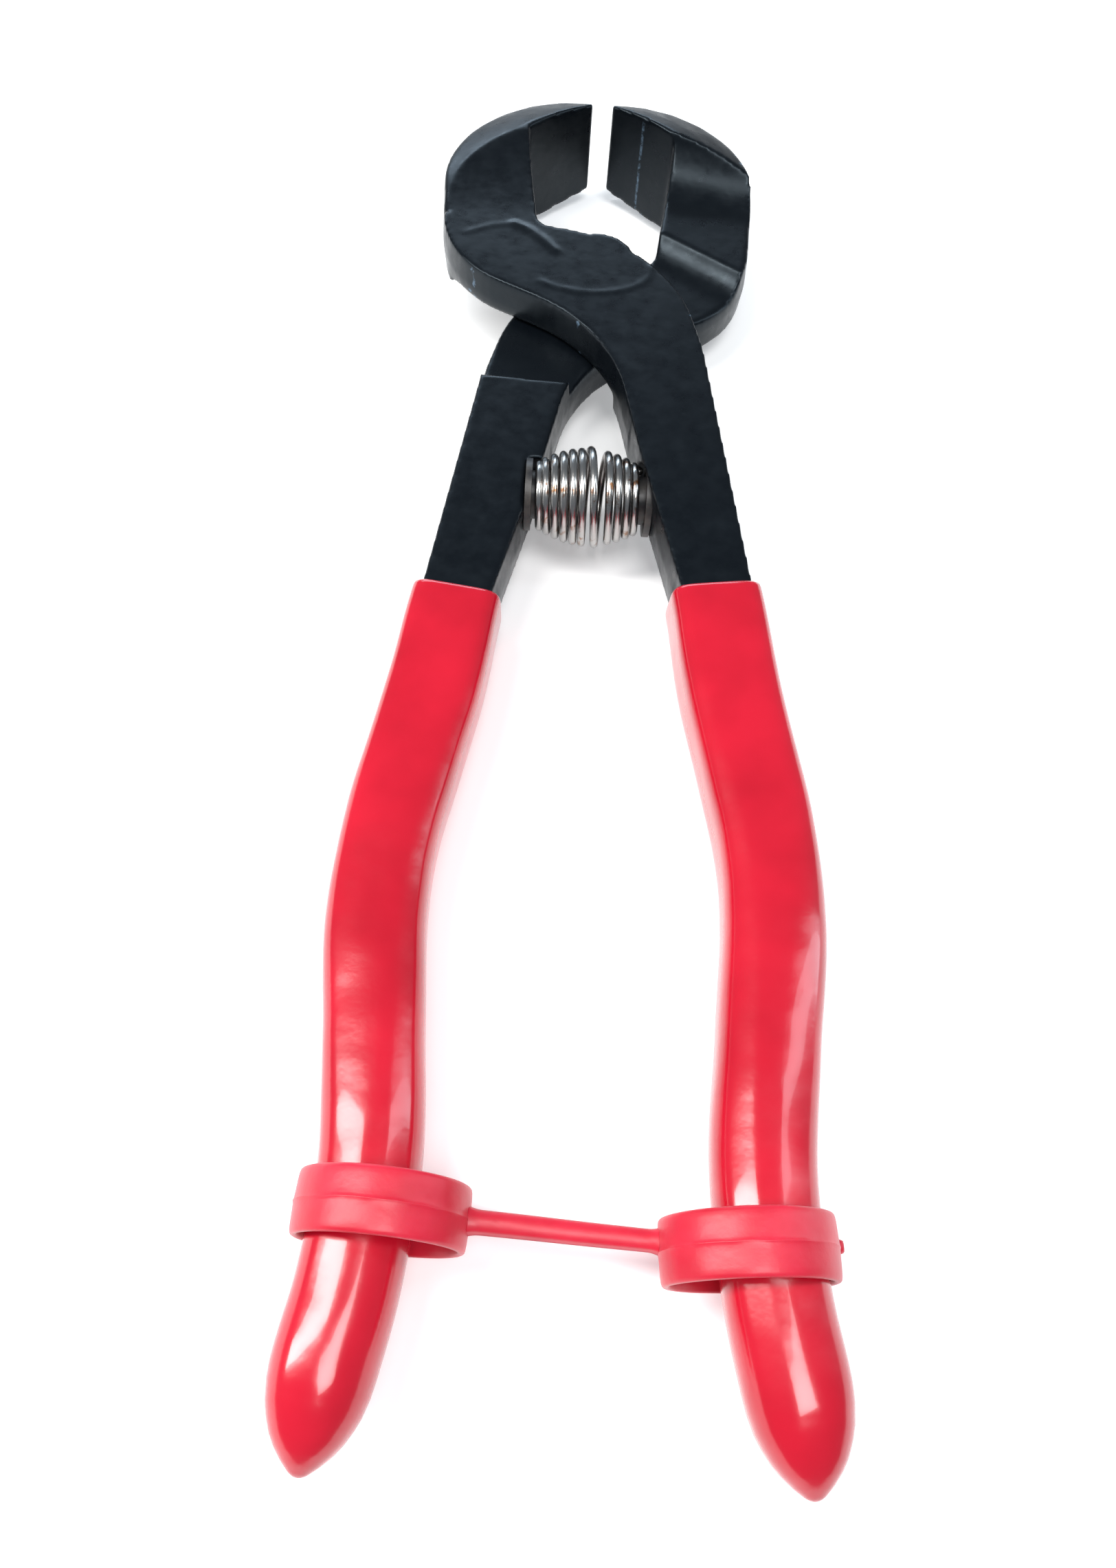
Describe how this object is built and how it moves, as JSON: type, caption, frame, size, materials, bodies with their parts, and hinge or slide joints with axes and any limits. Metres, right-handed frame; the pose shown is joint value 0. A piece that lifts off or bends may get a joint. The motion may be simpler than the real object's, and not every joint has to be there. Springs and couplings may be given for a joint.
{
  "type": "end cutting nippers",
  "caption": "Hand nippers with facing end jaws, crossed levers on a rivet, a barrel spring between the handles, dipped grips and a strap with a ring round each grip.",
  "frame": {"origin": "on the pivot axis, at the height of the joint between the two lap plates", "axes": "+Z along the pivot axis out of the front lever's lap, +Y towards the jaws, +X to the front lever's handle"},
  "size_m": [0.0658, 0.2294, 0.0234],
  "materials": {
    "black_enamel": "gloss black enamel over forged steel",
    "spring_steel": "bright drawn wire, a little rust",
    "seat_steel": "dark pressed pegs",
    "red_dip": "glossy red dipped vinyl",
    "red_strap": "satin moulded red plastic"
  },
  "bodies": {
    "front_side": {"front_lever": "black_enamel", "pivot_rivet": "black_enamel", "front_grip": "red_dip", "front_spring_seat": "seat_steel", "return_spring": "spring_steel"},
    "back_side": {"back_lever": "black_enamel", "back_grip": "red_dip", "back_spring_seat": "seat_steel"},
    "strap_front": {"front_ring": "red_strap", "strap_web": "red_strap"},
    "strap_back": {"back_ring": "red_strap"}
  },
  "joints": [
    {"name": "lever_pivot", "type": "hinge", "parent": "front_side", "child": "back_side", "pos_m": [0, 0, 0], "axis": [0, 0, 1], "range_deg": [0, 6.2], "stiffness_Nm_per_rad": 17, "springref_deg": -4.58, "deforming": ["return_spring"]},
    {"name": "front_ring_slide", "type": "slide", "parent": "front_side", "child": "strap_front", "axis": [1, 0, 0], "range_m": [0, 0.0041]},
    {"name": "back_ring_slide", "type": "slide", "parent": "strap_front", "child": "strap_back", "axis": [0.995, -0.0995, 0], "range_m": [0, 0.0094], "deforming": ["strap_web"]}
  ],
  "couplings": [
    {"joint": "front_ring_slide", "follows": "lever_pivot", "m_per_rad": 0.037},
    {"joint": "back_ring_slide", "follows": "lever_pivot", "m_per_rad": 0.085}
  ]
}
